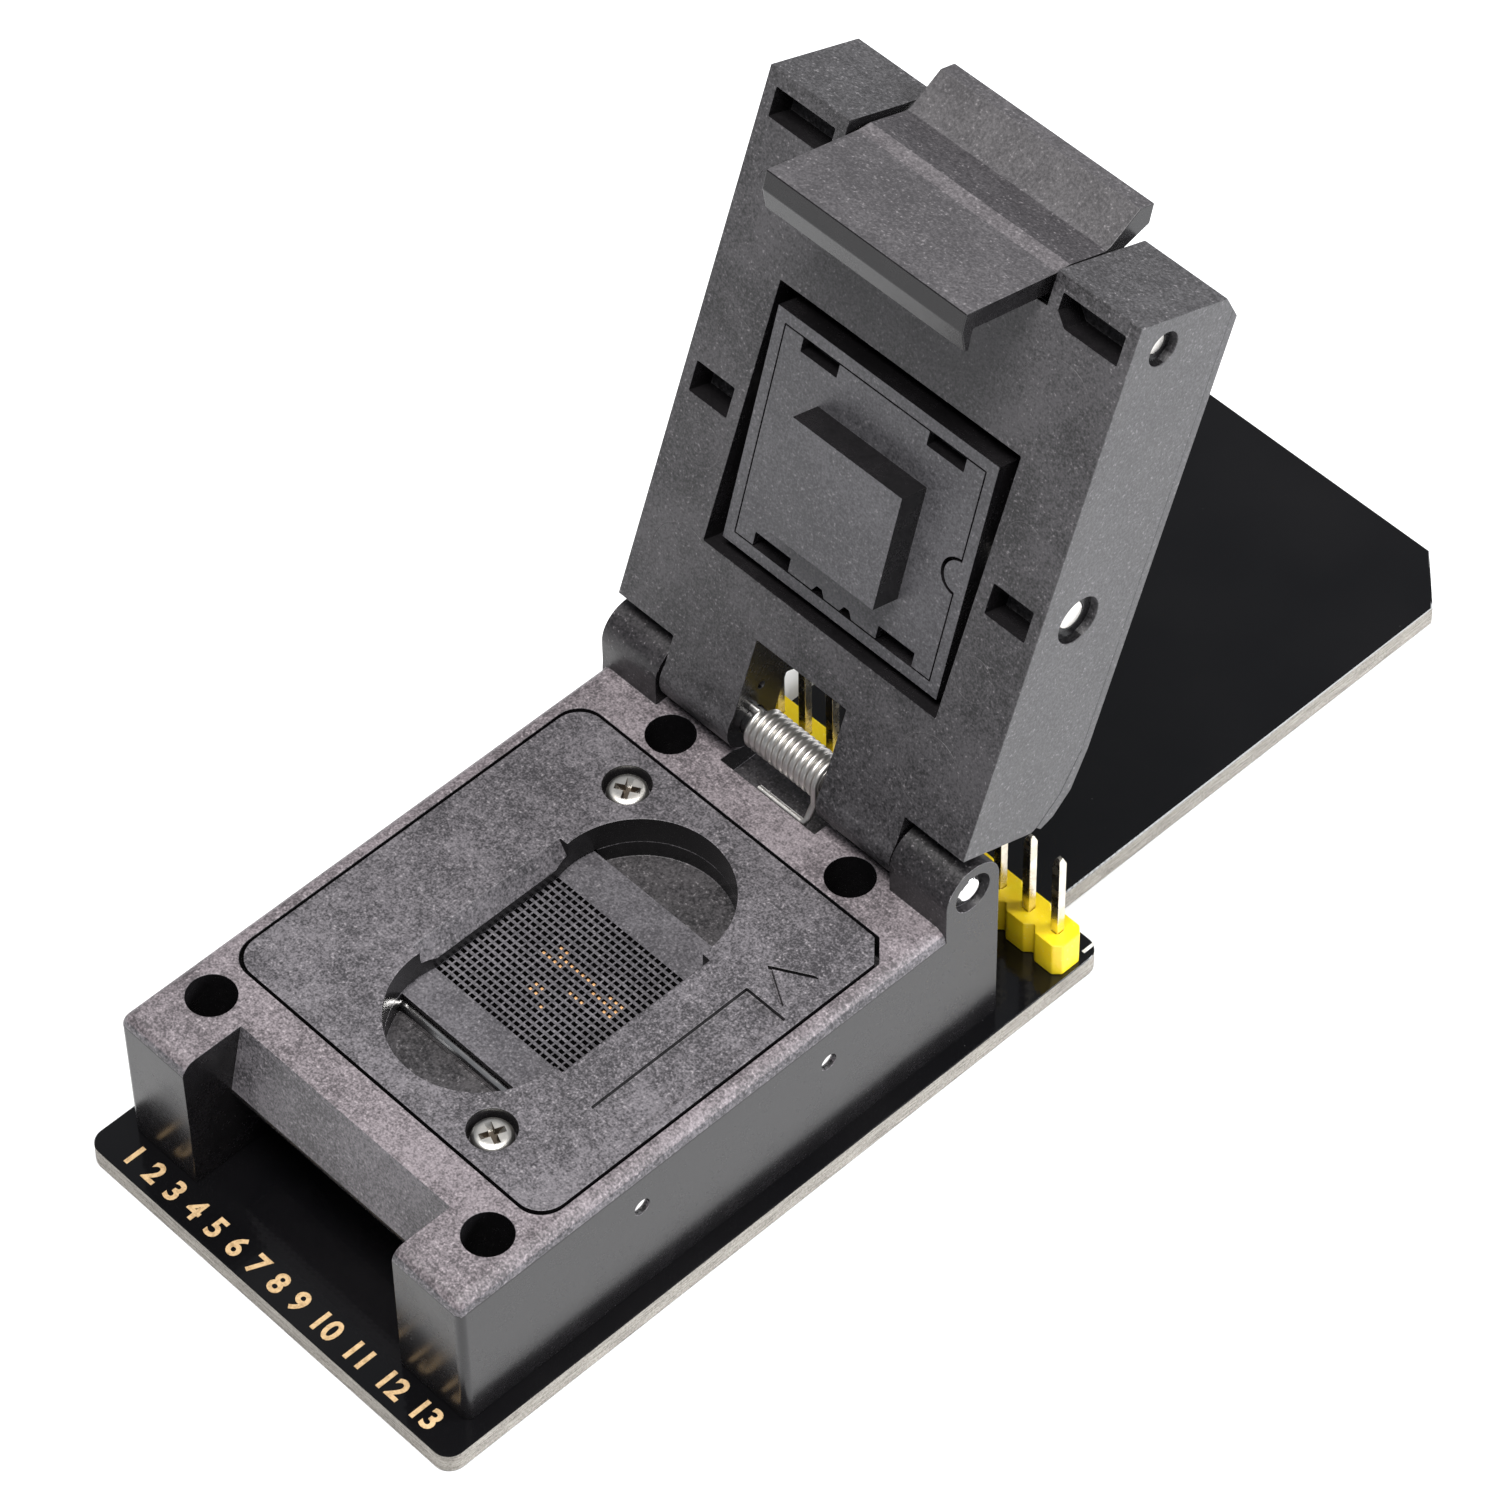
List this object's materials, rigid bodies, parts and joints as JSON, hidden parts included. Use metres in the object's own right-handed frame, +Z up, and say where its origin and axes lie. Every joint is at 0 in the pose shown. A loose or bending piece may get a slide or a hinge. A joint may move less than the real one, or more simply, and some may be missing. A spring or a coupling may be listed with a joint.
{
  "type": "bga programmer socket",
  "caption": "Clamshell test socket with sprung lid, latch and floating pressure plate, on a card-edge adapter board with a pin header.",
  "frame": {"origin": "on the underside of the board, below the middle of the chip nest", "axes": "+Z up, +Y from the latch end towards the hinge and the card end, +X to the right"},
  "size_m": [0.0336, 0.0961, 0.0566],
  "materials": {
    "board": "glossy solder mask, black",
    "gold": "gold plated",
    "moulding": "glass-filled, fine matt grain",
    "steel": "polished",
    "spring_steel": "drawn wire",
    "header_yellow": "satin"
  },
  "bodies": {
    "base": {"adapter_board": "board", "edge_contacts": "gold", "header_strip": "header_yellow", "header_pins": "gold", "base_housing": "moulding", "locator_insert": "moulding", "insert_screws": "steel", "contact_carrier": "moulding", "contact_pins": "gold", "float_springs": "spring_steel", "cross_pins": "steel", "hinge_pin": "steel"},
    "floating_plate": {"contact_plate": "moulding"},
    "lid": {"lid_frame": "moulding", "lid_cover": "moulding", "hinge_spring": "spring_steel", "pressure_pin": "steel", "pressure_springs": "spring_steel", "latch_pin": "steel", "latch_spring": "spring_steel"},
    "press": {"pressure_frame": "moulding", "pressure_plate": "moulding"},
    "latch": {"latch": "moulding"}
  },
  "joints": [
    {"name": "lid_hinge", "type": "hinge", "parent": "base", "child": "lid", "pos_m": [0, 0.0202, 0.0153], "axis": [1, 0, 0], "range_deg": [0, 110.8], "stiffness_Nm_per_rad": 0.006, "springref_deg": -57.3},
    {"name": "latch_pivot", "type": "hinge", "parent": "lid", "child": "latch", "pos_m": [0, 0.03525, 0.05237], "axis": [-1, 0, 0], "range_deg": [0, 18], "stiffness_Nm_per_rad": 0.001, "springref_deg": -17.19},
    {"name": "plate_rock", "type": "hinge", "parent": "lid", "child": "press", "pos_m": [0, 0.02887, 0.03362], "axis": [1, 0, 0], "range_deg": [-4.2, 0]},
    {"name": "plate_float", "type": "slide", "parent": "base", "child": "floating_plate", "axis": [0, 0, -1], "range_m": [0, 0.0003], "stiffness_N_per_m": 200, "springref_m": -0.0005, "deforming": ["float_springs"]}
  ],
  "couplings": [
    {"joint": "plate_rock", "follows": "lid_hinge", "ratio": -0.037}
  ]
}
